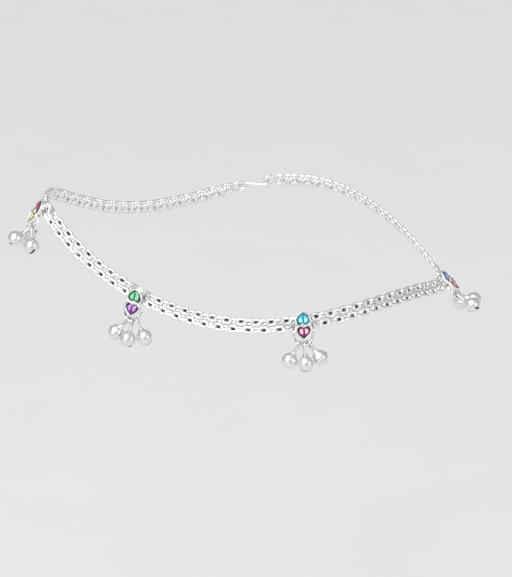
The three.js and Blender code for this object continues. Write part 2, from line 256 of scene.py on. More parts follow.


# %% [markdown]
# Links, rings, loops and the hook are all bent wire. A curve with a bevel would give tubes too,
# but not how far each point faces inwards, which the painted shade needs. So a wire is a circle
# carried along a path. Its two cross directions are chosen for the whole path at once: one is
# square to the path and to a fixed axis, and the other completes them.

# %% Wires
def wire(path, radius, sides, axis, closed=False):
    """Each ring of the tube is path + radius x (cos a x first - sin a x second), where first is
    the path's direction crossed with the axis, and second is first crossed with the path."""
    if closed:
        along = unit(np.roll(path, -1, axis=0) - np.roll(path, 1, axis=0))
    else:
        along = unit(np.gradient(path, axis=0))
    first = unit(np.cross(along, axis))
    second = np.cross(first, along)
    angle = 2 * np.pi * np.arange(sides) / sides
    radius = np.broadcast_to(np.asarray(radius, float), len(path))[:, None, None]
    section = np.cos(angle)[None, :, None] * first[:, None] - np.sin(angle)[None, :, None] * second[:, None]
    return path[:, None] + radius * section, section


def facing(section, way):
    """How far each direction round a wire points one way: the dot product of the two."""
    return np.einsum("ijk,ik->ij", section, unit(way))


def ring_path(radius, steps, straight=0.0):
    """A circle in the x-y plane whose two halves are moved apart: x is radius x cosine plus or
    minus the straight part, and y is radius x sine."""
    angle = 2 * np.pi * (np.arange(steps) + 0.5) / steps
    x = radius * np.cos(angle) + straight * np.sign(np.cos(angle))
    return np.stack([x, radius * np.sin(angle), 0 * angle], axis=1)


def spline(controls, steps):
    """A smooth line through a few points. Between two of them it is the cubic that passes both
    and whose slope at each is half of the step from the point before to the point after."""
    controls = np.asarray(controls, float)
    before, after = 2 * controls[0] - controls[1], 2 * controls[-1] - controls[-2]
    padded = np.concatenate([[before], controls, [after]])
    just_short = 1e-9
    where = np.linspace(0, len(controls) - 1 - just_short, steps)
    k, t = where.astype(int), (where % 1)[:, None]
    a, b, c, d = padded[k], padded[k + 1], padded[k + 2], padded[k + 3]
    return 0.5 * (2 * b + (c - a) * t + (2 * a - 5 * b + 4 * c - d) * t**2 + (3 * b - 3 * c + d - a) * t**3)


circle = ring_path(1.0, 36)
round_length = np.linalg.norm(circle - np.roll(circle, 1, axis=0), axis=1).sum()
print("36 steps round a circle measure", round(float(round_length), 3), "times its radius")


# %% [markdown]
# Writing materials as sums
#
# A procedural material is arithmetic on patterns, and it could be wired by hand, node by node.
# Written as a sum it is shorter and easier to check. The small class below wraps a socket, so
# that 1 - mask or a * b in Python adds the Math nodes. Any other node comes from one method
# that sets the node's own settings first and then fills its sockets.

# %% Sockets as numbers
class Socket:
    """A value in a material. Python's operators on it add Math nodes."""

    def __init__(self, finish, output):
        self.finish, self.output = finish, output

    def _math(self, operation, *values):
        return self.finish.node("Math", {"operation": operation}, dict(enumerate(values)))

    def __add__(self, other):
        return self._math("ADD", self, other)

    def __radd__(self, other):
        return self._math("ADD", other, self)

    def __sub__(self, other):
        return self._math("SUBTRACT", self, other)

    def __rsub__(self, other):
        return self._math("SUBTRACT", other, self)

    def __mul__(self, other):
        return self._math("MULTIPLY", self, other)

    def __rmul__(self, other):
        return self._math("MULTIPLY", other, self)

    def __abs__(self):
        return self._math("ABSOLUTE", self)

    def least(self, other):
        return self._math("MINIMUM", self, other)

    def most(self, other):
        return self._math("MAXIMUM", self, other)

    def step(self, low, high):
        """0 below low, 1 above high, and smooth between; low may be the larger of the two."""
        settings = {"interpolation_type": "SMOOTHSTEP", "data_type": "FLOAT"}
        inputs = {"Value": self, "From Min": low, "From Max": high}
        return self.finish.node("MapRange", settings, inputs)


class Finish:
    """One material. node() adds any node; surface() fills the Principled shader."""

    def __init__(self, name):
        self.material = bpy.data.materials.new(name)
        self.material.use_nodes = True
        self.tree = self.material.node_tree
        self.shader = self.tree.nodes["Principled BSDF"]

    def fill(self, node, inputs):
        """Each input, by name or number, gets a link from a Socket or else a value."""
        for key, value in inputs.items():
            if isinstance(value, Socket):
                self.tree.links.new(value.output, node.inputs[key])
            else:
                node.inputs[key].default_value = value

    def node(self, kind, settings=None, inputs=None, output=0):
        """A new node of a kind, its settings made first, and one of its outputs as a Socket."""
        made = self.tree.nodes.new("ShaderNode" + kind)
        for key, value in (settings or {}).items():
            setattr(made, key, value)
        self.fill(made, inputs or {})
        return Socket(self, made.outputs[output])

    def blend(self, share, first, second):
        """The first colour where share is 0 and the second where it is 1."""
        return self.node("Mix", {"data_type": "RGBA"}, {0: share, 6: first, 7: second}, output=2)

    def noise(self, place, scale, detail, roughness):
        """Soft noise from 0 to 1 in space, with so many cells to the metre."""
        inputs = {"Vector": place, "Scale": scale, "Detail": detail, "Roughness": roughness}
        return self.node("TexNoise", {"noise_dimensions": "3D"}, inputs)

    def surface(self, **inputs):
        """Fills the shader's inputs, whose names have _ for each space."""
        self.fill(self.shader, {key.replace("_", " "): value for key, value in inputs.items()})
        return self.material


# %% [markdown]
# Silver
#
# White silver is nearly colourless and very bright. What makes it look real at this size is
# in the recesses: holes and the gaps between wires lie in shade, so a near-black painted shade
# is laid in them. A node could look for hollow places by itself, but it would see each link
# alone. The recess number that each point carries is exact, so it drives the painted shade here.
# Noise breaks up the gloss, as handling does, and a finer one gives the faint ripple of drawn
# and tumbled wire.

# %% The silver finishes
BRIGHT = (0.955, 0.950, 0.935, 1.0)
WARM = (0.90, 0.885, 0.85, 1.0)
# Painted shade: a near-black colour laid where the recess number is high, from where it starts to where it
# is full.
PAINTED_SHADE_COLOUR = (0.030, 0.028, 0.027, 1.0)
PAINTED_SHADE_STARTS, PAINTED_SHADE_FULL = 0.50, 0.95
WORN_STARTS, WORN_FULL = 0.35, 0.75
SPECKS_TO_PATCHES, RIPPLES_TO_PATCHES = 6, 2.5
RIPPLE_HEIGHT = 0.00004


def dimmed(colour, tone):
    """A colour times a tone; the fourth number stays 1."""
    return tuple(tone * c for c in colour[:3]) + (1.0,)


def silver(name, gloss, ripple, wear_scale, tone=1.0):
    """The painted shade is recess x (0.75 + half the patches), with a little of the specks, from where
    it starts to where it is full. Roughness is the gloss plus a part of the worn patches, the
    specks and the painted shade. The bump is fine noise."""
    finish = Finish(name)
    place = finish.node("TexCoord", output=3)
    recess = finish.node("Attribute", {"attribute_name": "recess"}, output=2)
    patches = finish.noise(place, wear_scale, 3.0, 0.6)
    specks = finish.noise(place, wear_scale * SPECKS_TO_PATCHES, 2.0, 0.5) - 0.5
    painted_shade = recess * (0.75 + 0.5 * patches) + 0.12 * specks
    painted_shade = painted_shade.step(PAINTED_SHADE_STARTS, PAINTED_SHADE_FULL)
    worn = patches.step(WORN_STARTS, WORN_FULL)
    metal = finish.blend(worn, dimmed(BRIGHT, tone), dimmed(WARM, tone))
    colour = finish.blend(painted_shade, metal, PAINTED_SHADE_COLOUR)
    rough = gloss + 0.10 * worn + 0.08 * specks + 0.30 * painted_shade
    fine = finish.noise(place, wear_scale * RIPPLES_TO_PATCHES, 3.0, 0.55)
    bump = {"Strength": ripple, "Distance": RIPPLE_HEIGHT, "Height": fine}
    normal = finish.node("Bump", None, bump)
    return finish.surface(Base_Color=colour, Metallic=1.0, Roughness=rough, Normal=normal)


chain_silver = silver("chain_silver", gloss=0.28, ripple=0.25, wear_scale=900.0)
plate_silver = silver("plate_silver", gloss=0.17, ripple=0.20, wear_scale=700.0)
bell_silver = silver("bell_silver", gloss=0.34, ripple=0.35, wear_scale=500.0, tone=0.90)
wire_silver = silver("wire_silver", gloss=0.18, ripple=0.15, wear_scale=800.0)
print("silver finishes:", [m.name for m in (chain_silver, plate_silver, bell_silver, wire_silver)])

# %% [markdown]
# The two-row chain
#
# Each row is a cable of oval links: every other one lies flat and shows its small round hole,
# and the ones between are turned on edge and show only a crease. The rows are half a step
# apart, so a hole in one row is beside a crease in the other. Behind each pair a pinched cross
# link ties the two rows together, and it is what closes the holes from behind. Copies of one
# link object would stay stiff where the chain bends. So all links of a kind are one array,
# link number x point along the wire x point round the wire, and it is bent onto the route last.

# %% One link
ROW_HEIGHT, LINK_STEP = 0.93, 1.82
FLAT_RADIUS, TURNED_RADIUS, CROSS_RADIUS = 0.34, 0.37, 0.29
LINK_LENGTH, FLAT_WIDTH, TURNED_WIDTH = 2.92, 1.94, 1.80
FLAT_FORWARD, EDGE_TURN = 0.12, 38.0
CROSS_LENGTH, CROSS_WIDTH, CROSS_BEHIND = 2.9, 1.12, -0.40
LINK_POINTS, LINK_SIDES = 12, 6


def link_array(length, width, radius):
    """One oval link in its own x-y plane, and how far each point of its wire faces the nearest
    point of the link's middle line."""
    bend = (width - 2 * radius) / 2
    straight = (length - width) / 2
    path = ring_path(bend, LINK_POINTS, straight)
    grid, section = wire(path, radius, LINK_SIDES, UP, closed=True)
    middle = np.clip(path, [-straight, 0, 0], [straight, 0, 0])
    return grid, section, facing(section, middle - path)


flat_link = link_array(LINK_LENGTH, FLAT_WIDTH, FLAT_RADIUS)
turned_link = link_array(LINK_LENGTH, TURNED_WIDTH, TURNED_RADIUS)
cross_link = link_array(CROSS_LENGTH, CROSS_WIDTH, CROSS_RADIUS)
print("faces in a link:", LINK_POINTS * LINK_SIDES)


# %% [markdown]
# Painted shade is darkest inside a link's hole. A flat link is dark there and a little at its
# back, and a turned one only in its crease. A cross link is dark only where it shows through the
# holes in front of it, and bright at the back of the chain. Paint could do this on a few links.
# For some hundreds, two rules for every point are quicker: which way the wire faces there, and
# how near it is to a hole.

# %% Dark places of a link
# Strengths of painted shade: in a flat link's hole, a turned link's crease, a cross link, at the backs of
# links and behind the holes.
HOLE_DARK, CREASE_DARK, CROSS_DARK = 1.0, 0.62, 0.6
BACK_DARK, BEHIND_HOLE_DARK = 0.3, 1.8
BACKWARDS, FORWARDS = -1, 1
HOLE_REACH, HOLE_WIDTH = 0.58, 0.46


def recess_of(link, turn, inner, hidden, hidden_way):
    """The larger of: inner x how far the point faces into the link's hole, and hidden x how
    far it faces the hidden way, forwards or backwards."""
    _, section, inward = link
    outward = (section @ turn.T)[..., 2] * hidden_way
    return np.clip(np.maximum(inner * inward, hidden * outward), 0, 1)


def only_near(values, middle, reach):
    """1 near a value and 0 away from it: e to the minus fourth power of the distance in reaches."""
    return np.exp(-(((values - middle) / reach) ** 4))


hole_line = only_near(np.array([0, HOLE_REACH, 2 * HOLE_REACH]), 0, HOLE_REACH)
print("darkness at the middle, the edge and twice the edge of a hole:", np.round(hole_line, 2))


# %% [markdown]
# The plates are soldered onto the chain, so its links run on behind them without a break. Each
# length could be laid out by itself, but then the pattern would jump at every plate. So the
# links are laid out once for the whole loop, from one end eye round to the other, and each
# belongs to the piece in whose stretch its middle lies. A plate's stretch is as long as the bar
# that takes the links' place behind it in the CAD model.

# %% One run of links
PLACES = [0.0133, 0.1435, 0.3071, 0.5]
CLASP_PLACE = 0.75
BAR_LENGTH = 4.3
END_EYE_RADIUS, END_EYE_WIRE, HOOK_REACH = 1.45, 0.7, 2.6
CLASP_END = HOOK_REACH + 2 * END_EYE_RADIUS

plates = [place * CHAIN_LENGTH for place in PLACES]
clasp = CLASP_PLACE * CHAIN_LENGTH
run_start, run_end = clasp + CLASP_END - CHAIN_LENGTH, clasp - CLASP_END
room = run_end - run_start - LINK_LENGTH
link_gaps = int(round(room / LINK_STEP))
middles = run_start + LINK_LENGTH / 2 + np.arange(link_gaps + 1) * room / link_gaps
print("links in a row:", len(middles), "step", round(middles[1] - middles[0], 3), "mm")


def centres_at(distances, height, depth):
    """A centre for each distance, all of them at one height and one depth."""
    return np.stack([distances, np.full_like(distances, height), np.full_like(distances, depth)], axis=1)


def add_links(shell, link, centres, turn, depth):
    """Every link of a kind: its points turned, moved to each centre, and bent onto the route."""
    grid = link[0]
    local = (grid @ turn.T)[None] + centres[:, None, None, :]
    faces = grid_faces(grid.shape[0], grid.shape[1], wrap_rows=True)
    numbers = np.arange(len(centres)) * grid.shape[0] * grid.shape[1]
    every = (faces[None] + numbers[:, None, None]).reshape(-1, 4)
    shell.add(on_chain(local), every, np.broadcast_to(depth, (len(centres),) + depth.shape))


def links_between(shell, start, end, painted_shade=1.0):
    """Adds the links whose middles lie between two distances: flat and turned ones by turns in
    both rows, half a turn out of step, and a cross link behind each flat one."""
    inside = (middles >= start) & (middles < end)
    even = np.arange(len(middles)) % 2 == 0
    rows = ((ROW_HEIGHT, even), (-ROW_HEIGHT, ~even))
    for height, flat in rows:
        for link, chosen, depth, degrees, inner in (
            (flat_link, flat, FLAT_FORWARD, 0.0, HOLE_DARK),
            (turned_link, ~flat, 0.0, EDGE_TURN * np.sign(height), CREASE_DARK),
        ):
            centres = centres_at(middles[inside & chosen], height, depth)
            turn = turned("x", degrees)
            dark = recess_of(link, turn, inner, BACK_DARK, BACKWARDS)
            dark = dark * only_near(link[0][..., 0], 0, HOLE_REACH)
            add_links(shell, link, centres, turn, painted_shade * dark)
    across = turned("z", 90.0)
    for height, flat in rows:
        centres = centres_at(middles[inside & flat], 0, CROSS_BEHIND)
        under_hole = only_near(cross_link[0][..., 0], height, HOLE_WIDTH)
        under_hole = under_hole * only_near(cross_link[0][..., 1], 0, HOLE_REACH)
        dark = recess_of(cross_link, across, CROSS_DARK, BEHIND_HOLE_DARK, FORWARDS) * under_hole
        add_links(shell, cross_link, centres, across, painted_shade * dark)


# %% [markdown]
# The two lengths that close the anklet carry a round eye each, beside the hook. It is soldered
# shut, so its wire is a whole ring, and only its inner side gets a little painted shade.

# %% The five lengths
END_EYE_POINTS, END_EYE_SIDES, END_EYE_DARK = 36, 12, 0.35


def add_end_eye(shell, side):
    """A closed round wire in the chain's own plane, on one side of the hook, 1 or -1."""
    pose = pose_on_chain(clasp).moved(side * (HOOK_REACH + END_EYE_RADIUS), 0, 0)
    path = ring_path(END_EYE_RADIUS, END_EYE_POINTS)
    grid, section = wire(path, END_EYE_WIRE / 2, END_EYE_SIDES, UP, closed=True)
    dark = np.clip(END_EYE_DARK * facing(section, -path), 0, 1)
    shell.add_grid(pose.point(grid), dark, wrap_rows=True)


EYE_SIDES = {4: -1, 5: 1}
half_bar = BAR_LENGTH / 2
spans = [(this + half_bar, after - half_bar) for this, after in zip(plates, plates[1:])]
spans += [(plates[-1] + half_bar, run_end), (run_start, plates[0] - half_bar)]
for number, (start, end) in enumerate(spans, start=1):
    shell = Shell()
    links_between(shell, start, end)
    if number in EYE_SIDES:
        add_end_eye(shell, EYE_SIDES[number])
    length = finished(f"chain_length_{number}", "links", shell, chain_silver, sharp=75.0)
    print(length.name, round(end - start, 1), "mm,", len(length.data.polygons), "faces")

# %% [markdown]
# The heart plates
#
# Each plate is cast: two hearts lobe to lobe, the upper one upside down, with a
# raised rim round a sunk floor that holds the enamel. A flat curve with a bevel would give the
# rim, but not the step down to the floor. A heart's outline here is three smooth curves and
# their mirror image, and a smaller heart of the same formula lies inside it at any inset, so a
# row of hearts at growing insets and changing heights is the whole body: side, rim and floor.

# %% Heart outlines
PLATE_WIDTH, PLATE_HEIGHT, PLATE_THICKNESS = 4.0, 6.9, 0.8
CHAIN_THICKNESS, PLATE_STANDOFF, HEART_OVERLAP = 1.8, 0.2, 0.3
PLATE_BACK = CHAIN_THICKNESS / 2 + PLATE_STANDOFF
HEART_HEIGHT = (PLATE_HEIGHT + HEART_OVERLAP) / 2
HEART_MIDDLE = (PLATE_HEIGHT - HEART_HEIGHT) / 2
UPPER_FULLNESS, LOWER_FULLNESS = 0.62, 0.36
ENAMEL_RIM, ENAMEL_DEPTH, ENAMEL_PROUD, ENAMEL_PLAY = 0.42, 0.3, 0.12, 0.06
HEART_STEPS = 12
WIDEST, LOBE_TOP, CLEFT = 0.4, 0.5, 0.62


def heart_outline(inset, fullness):
    """Points round a heart of the plate's width and height less twice the inset: three cubic
    curves of four corners up the right side, from the tip to the widest place, the top of the
    lobe and the cleft, and the same mirrored down the left. Corners are shares of half the size."""
    side, top = PLATE_WIDTH / 2 - inset, HEART_HEIGHT / 2 - inset
    flank = side * fullness
    curves = [
        [(0, -top), (flank, -0.72 * top), (side, -0.2 * top), (side, WIDEST * top)],
        [(side, WIDEST * top), (side, 0.8 * top), (0.76 * side, top), (LOBE_TOP * side, top)],
        [(LOBE_TOP * side, top), (0.22 * side, top), (0, 0.84 * top), (0, CLEFT * top)],
    ]
    t = (np.arange(HEART_STEPS) / HEART_STEPS)[:, None]
    weights = np.stack([(1 - t) ** 3, 3 * t * (1 - t) ** 2, 3 * t**2 * (1 - t), t**3], axis=1)
    right = np.concatenate([np.sum(weights * np.array(curve)[None], axis=1) for curve in curves])
    right = np.concatenate([right, [[0, CLEFT * top]]])
    left = (right[1:-1] * [-1, 1])[::-1]
    return np.concatenate([right, left])


def heart_rings(outlines, heights, upper):
    """Each outline at its height. Upper ones are turned half round and moved up to the upper
    heart's middle, and lower ones are moved down as far."""
    way = 1.0 if upper else -1.0
    flat = outlines * -way + [0, way * HEART_MIDDLE]
    z = np.broadcast_to(heights[:, None, None], flat.shape[:2] + (1,))
    return np.concatenate([flat, z], axis=-1)


print("points round a heart:", len(heart_outline(0, UPPER_FULLNESS)))


# %% [markdown]
# Behind the hearts are the waist that joins them, a post of solder, and the eye for the ring.
# A cube with a bevel would do for the first two. A sphere whose eight parts are moved apart is
# the same block with soft edges, and it stays one closed grid: each point is its corner's
# centre plus the radius times the sphere's direction.

# %% Soft blocks and the eye
RING_RADIUS, RING_WIRE, EYE_PLAY, EYE_WALL, EYE_LENGTH = 2.26, 0.68, 0.14, 0.33, 0.6
EYE_BELOW_WAIST = 0.25
EYE_HOLE = RING_WIRE / 2 + EYE_PLAY
BLOCK_STEPS, EYE_STEPS = 16, 24
EYE_CORNER = 0.15


def soft_box(low, high, radius):
    """The middle of the box, plus the signs of a sphere's direction times the half size less
    the radius, plus the radius times the direction."""
    low, high = np.asarray(low, float), np.asarray(high, float)
    across = 2 * np.pi * (np.arange(BLOCK_STEPS) + 0.5) / BLOCK_STEPS
    down = 2 * np.pi * (np.arange(BLOCK_STEPS // 2) + 0.5) / BLOCK_STEPS
    d, a = np.meshgrid(down[::-1], across, indexing="ij")
    way = np.stack([np.sin(d) * np.cos(a), np.sin(d) * np.sin(a), np.cos(d)], axis=-1)
    return (low + high) / 2 + np.sign(way) * ((high - low) / 2 - radius) + radius * way


def eye_grid(hole, wall, length):
    """A short tube on the x axis: a rectangle with cut corners, as shares of half the length
    and of the wall, is carried round at the hole's radius."""
    c = EYE_CORNER
    end = [(1, c), (1, 1 - c), (1 - c, 1)]
    profile = np.array([(-1, c), (c - 1, 0), (1 - c, 0)] + end + [(c - 1, 1), (-1, 1 - c)])
    x, r = profile[:, 0] * length / 2, hole + wall * profile[:, 1]
    angle = 2 * np.pi * np.arange(EYE_STEPS)[:, None] / EYE_STEPS
    return np.stack([x + 0 * angle, r * np.cos(angle), r * np.sin(angle)], axis=-1)


print("points of the eye:", eye_grid(EYE_HOLE, EYE_WALL, EYE_LENGTH).shape[:2])


# %% [markdown]
# The body of a heart is a short table: each row is one outline, drawn in by an inset and
# raised to a height above the plate's back, with how much painted shade it gets. The rows climb
# the side, roll over the rim and step down to the floor under the enamel.

# %% The plate as one shell
CHAIN_WIDTH = 3.7
WAIST_WIDTH, WAIST_HEIGHT, WAIST_PROUD, WAIST_CORNER = 1.5, 1.2, 0.1, 0.15
POST_WIDTH, POST_BASE, POST_TOP_INSET, POST_CORNER = 1.6, 0.1, 0.7, 0.25
# Painted shade on the solder pieces and the eye, and a lighter share of the links' painted shade behind the
# plate.
POST_SUNK, SOLDER_SHADE, EYE_DARK = 0.2, 0.25, 0.2
BEHIND_PLATE_SHADE = 0.6
HEART_SECTION = np.array([
    (0.10, 0.00, 0.40),
    (0.02, 0.03, 0.30),
    (0.00, 0.12, 0.20),
    (0.00, 0.62, 0.05),
    (0.03, 0.72, 0.00),
    (0.11, 0.785, 0.00),
    (0.22, 0.80, 0.00),
    (0.32, 0.785, 0.00),
    (0.39, 0.72, 0.25),
    (ENAMEL_RIM, 0.64, 0.90),
    (ENAMEL_RIM, 0.52, 1.00),
    (ENAMEL_RIM + 0.03, 0.50, 1.00),
])


def plate_shell(distance, pose, plate_pose):
    """The links behind, two heart bodies, the waist, the post and the eye, in one shell."""
    shell = Shell()
    links_between(shell, distance - half_bar, distance + half_bar, BEHIND_PLATE_SHADE)
    insets, heights, depths = HEART_SECTION.T
    for upper, fullness in ((True, UPPER_FULLNESS), (False, LOWER_FULLNESS)):
        outlines = np.stack([heart_outline(inset, fullness) for inset in insets])
        grid = heart_rings(outlines, PLATE_BACK + heights, upper)
        shell.add_grid(plate_pose.point(grid), np.broadcast_to(depths[:, None], grid.shape[:2]))
    floor = PLATE_BACK + PLATE_THICKNESS - ENAMEL_DEPTH
    low = [-WAIST_WIDTH / 2, -WAIST_HEIGHT / 2, PLATE_BACK]
    high = [WAIST_WIDTH / 2, WAIST_HEIGHT / 2, floor + WAIST_PROUD]
    shell.add_grid(plate_pose.point(soft_box(low, high, WAIST_CORNER)), SOLDER_SHADE)
    low = [-POST_WIDTH / 2, -POST_BASE, POST_BASE]
    high = [POST_WIDTH / 2, CHAIN_WIDTH / 2 - POST_TOP_INSET, PLATE_BACK + POST_SUNK]
    shell.add_grid(pose.point(soft_box(low, high, POST_CORNER)), SOLDER_SHADE)
    eye = eye_grid(EYE_HOLE, EYE_WALL, EYE_LENGTH) + [0, -EYE_BELOW_WAIST, PLATE_BACK - EYE_HOLE]
    shell.add_grid(plate_pose.point(eye), EYE_DARK, wrap_rows=True)
    return shell


print("rows in a heart's section:", len(HEART_SECTION))


# %% [markdown]
# Enamel
#
# The enamel is glass melted into the sunk hearts. It stands a little proud, domed by surface
# tension. A flat face with a painted pattern would look dead, because glass catches light on
# its curve, so the mesh is the heart's outline drawn in to its middle at the height of a dome.
# Its UV map is the place in the heart, from -1 to 1, so that the pattern in the material can be
# drawn in the heart's own measure.

# %% The domed enamel
DOME_STEPS, DOME_SPREAD, DOME_MIDDLE = 8, 1.2, 0.03
UNDERCUT = 0.97
ENAMEL_EDGE_LOW = 0.06


def enamel_shell(plate_pose, upper, fullness):
    """Rings are the outline times a share that falls from 1 to nearly 0. Their height is that
    of the enamel's edge plus the dome: one minus the fourth power of the share. The first two
    rings are the underside and the bottom of the wall."""
    shell = Shell()
    inset = ENAMEL_RIM + ENAMEL_PLAY / 2
    outline = heart_outline(inset, fullness)
    base = PLATE_BACK + PLATE_THICKNESS - ENAMEL_DEPTH + ENAMEL_PLAY / 2
    falling = 1 - (np.arange(1, DOME_STEPS) / DOME_STEPS) ** DOME_SPREAD
    share = np.concatenate([[UNDERCUT, 1.0, 1.0], falling, [DOME_MIDDLE]])
    dome = ENAMEL_PROUD * (1 - share**4)
    top = PLATE_BACK + PLATE_THICKNESS - ENAMEL_EDGE_LOW + dome
    heights = np.where(np.arange(len(share)) < 2, base, top)
    outlines = share[:, None, None] * outline
    place = outlines / [PLATE_WIDTH / 2 - inset, HEART_HEIGHT / 2 - inset]
    grid = heart_rings(outlines, heights, upper)
    shell.add_grid(plate_pose.point(grid), np.broadcast_to(share[:, None], grid.shape[:2]), place=place)
    return shell


print("rings in the enamel's dome:", DOME_STEPS)


# %% [markdown]
# Each heart's colour is laid in three strengths: a dark line round the edge and down the
# middle, a middle tone beside it, and a pale cell with a straight side in each lobe. A drawn
# picture could hold that, but the pattern is simple enough for sums on two numbers: the share
# of the way out to the outline, which the mesh carries, and x, from the UV map.

# %% The enamel finishes
CELL_OUTER, CELL_INNER, CELL_BASE_BLUR = (0.74, 0.60), (0.10, 0.20), 0.12
LINE_OUTER, VEIN = (0.64, 0.76), (0.15, 0.07)
CLOUD_SCALE, GRAIN_SCALE, PIT_SCALE = 1400.0, 6000.0, 9000.0
ENAMEL_RELIEF = 0.00005


def enamel(name, dark, pale, tone, cell_base):
    """A point is dark where its share of the way out is large or where x is near 0. It is pale
    where it is far from both and above the cell's base. Noise clouds the edges and gives the
    grain of the glass, and small pits catch light."""
    finish = Finish(name)
    outwards = finish.node("Attribute", {"attribute_name": "recess"}, output=2)
    uv = finish.node("UVMap", {"uv_map": "UVMap"})
    x, y = (finish.node("SeparateXYZ", None, {0: uv}, output=axis) for axis in (0, 1))
    place = finish.node("TexCoord", output=3)
    cloud = finish.noise(place, CLOUD_SCALE, 3.0, 0.6)
    grain = finish.noise(place, GRAIN_SCALE, 2.0, 0.5)
    uneven = 0.15 * (cloud - 0.5)
    cell = (outwards + uneven).step(*CELL_OUTER) * (abs(x) + uneven).step(*CELL_INNER)
    cell = cell * (y + uneven).step(cell_base - CELL_BASE_BLUR, cell_base + CELL_BASE_BLUR)
    line = (outwards + uneven).step(*LINE_OUTER).most(abs(x).step(*VEIN))
    field = finish.blend(line, tone, dark)
    colour = finish.blend(cell * (0.80 + 0.3 * grain).least(1.0), field, pale)
    pits = finish.noise(place, PIT_SCALE, 1.0, 0.5).step(0.68, 0.80)
    rough = 0.10 + 0.10 * cloud + 0.25 * pits
    height = cloud * 0.5 + cell * 0.6 - pits * 0.4
    normal = finish.node("Bump", None, {"Strength": 0.5, "Distance": ENAMEL_RELIEF, "Height": height})
    coat = {"Coat_Weight": 0.6, "Coat_Roughness": 0.05}
    return finish.surface(Base_Color=colour, Roughness=rough, Normal=normal, **coat)


def shade(red, green, blue):
    """A colour given in steps of 255 as it looks on a screen, turned into light."""
    share = np.array([red, green, blue]) / 255
    light = np.where(share < 0.04045, share / 12.92, ((share + 0.055) / 1.055) ** 2.4)
    return tuple(float(c) for c in light) + (1.0,)


# For each enamel: its dark, pale and middle colour, and the height of the cell's base.
ENAMELS = {
    "enamel_maroon": (shade(84, 8, 28), shade(176, 70, 96), shade(130, 18, 48), -0.10),
    "enamel_lime": (shade(138, 140, 66), shade(240, 242, 198), shade(208, 210, 146), -0.30),
    "enamel_green": (shade(4, 78, 44), shade(150, 226, 184), shade(110, 200, 150), -0.05),
    "enamel_purple": (shade(68, 14, 86), shade(206, 158, 222), shade(146, 76, 166), -0.20),
    "enamel_teal": (shade(24, 128, 146), shade(182, 250, 242), shade(96, 208, 212), -0.05),
    "enamel_magenta": (shade(88, 14, 58), shade(246, 208, 230), shade(160, 62, 116), -0.20),
    "enamel_blue": (shade(14, 30, 100), shade(170, 190, 240), shade(60, 92, 184), -0.10),
    "enamel_red": (shade(122, 16, 38), shade(244, 184, 196), shade(190, 54, 84), -0.20),
}
enamels = {name: enamel(name, *values) for name, values in ENAMELS.items()}
print("enamel finishes:", len(enamels))

# %% [markdown]
# Rings and bells
#
# A jump ring is bent round and its two ends are pushed together, which leaves a fine line. A
# ready-made torus has no such line, so the wire here is open by a hair at one side and has
# flat ends.

# %% Rings
RING_POINTS, RING_SIDES = 65, 14
RING_OPENING, OPENING_AT = 0.6, 205.0
# The wire is darkened at its two cut ends, where the joint is, and has painted shade on its inner side.
OPENING_DARK, OPENING_DARK_STEPS, RING_INNER_DARK = 0.7, 0.8, 0.75


def steps_from_end(count):
    """0 at both ends of a row of numbers, and one more for each step inwards."""
    return np.minimum(np.arange(count), np.arange(count)[::-1])


def ring_shell(ring_pose):
    """The wire runs from just after its opening round to just before it. It is dark at both
    ends, by e to the minus steps from the end, and has painted shade on its inner side."""
    shell = Shell()
    angle = np.radians(np.linspace(RING_OPENING, 360 - RING_OPENING, RING_POINTS) + OPENING_AT)
    path = RING_RADIUS * np.stack([np.cos(angle), np.sin(angle), 0 * angle], axis=1)
    grid, section = wire(path, RING_WIRE / 2, RING_SIDES, UP)
    ends = np.exp(-steps_from_end(RING_POINTS) / OPENING_DARK_STEPS)[:, None]
    dark = OPENING_DARK * ends + RING_INNER_DARK * facing(section, -path)
    shell.add_grid(ring_pose.point(grid), np.clip(dark, 0, 1))
    return shell


print("a ring's wire is", round(2 * np.pi * RING_RADIUS, 1), "mm long")


# %% [markdown]
# A bell is a thin ball with a slit below. A slot could be cut from a ready-made sphere with a
# Boolean modifier, which leaves long thin faces on a shiny round piece. Here the ball's poles
# are at its sides, so that the slit falls between two rows of the grid: faces are left out
# there, outside and inside, and walls join the two edges.

# %% The ball of a bell
BELL_RADIUS, BELL_WALL, BELL_SLIT, BELL_SLIT_REACH = 1.9, 0.4, 0.5, 0.6
BALL_COLUMNS, BALL_ROWS_A_SIDE, POLE_CAP = 40, 9, 0.12


def ball_grid(radius):
    """Rows are circles square to z. Two of them lie at the edges of the slit, and the others
    are spread evenly between those and the poles. Columns go round, from straight down."""
    slit = np.arcsin(BELL_SLIT / 2 / radius)
    upper = np.linspace(slit, np.pi / 2 - POLE_CAP, BALL_ROWS_A_SIDE)
    latitude = np.concatenate([-upper[::-1], upper])[:, None]
    angle = 2 * np.pi * (np.arange(BALL_COLUMNS) + 0.5) / BALL_COLUMNS
    x, y = np.cos(latitude) * np.sin(angle), -np.cos(latitude) * np.cos(angle)
    return radius * np.stack([x, y, np.sin(latitude) + 0 * angle], axis=-1)


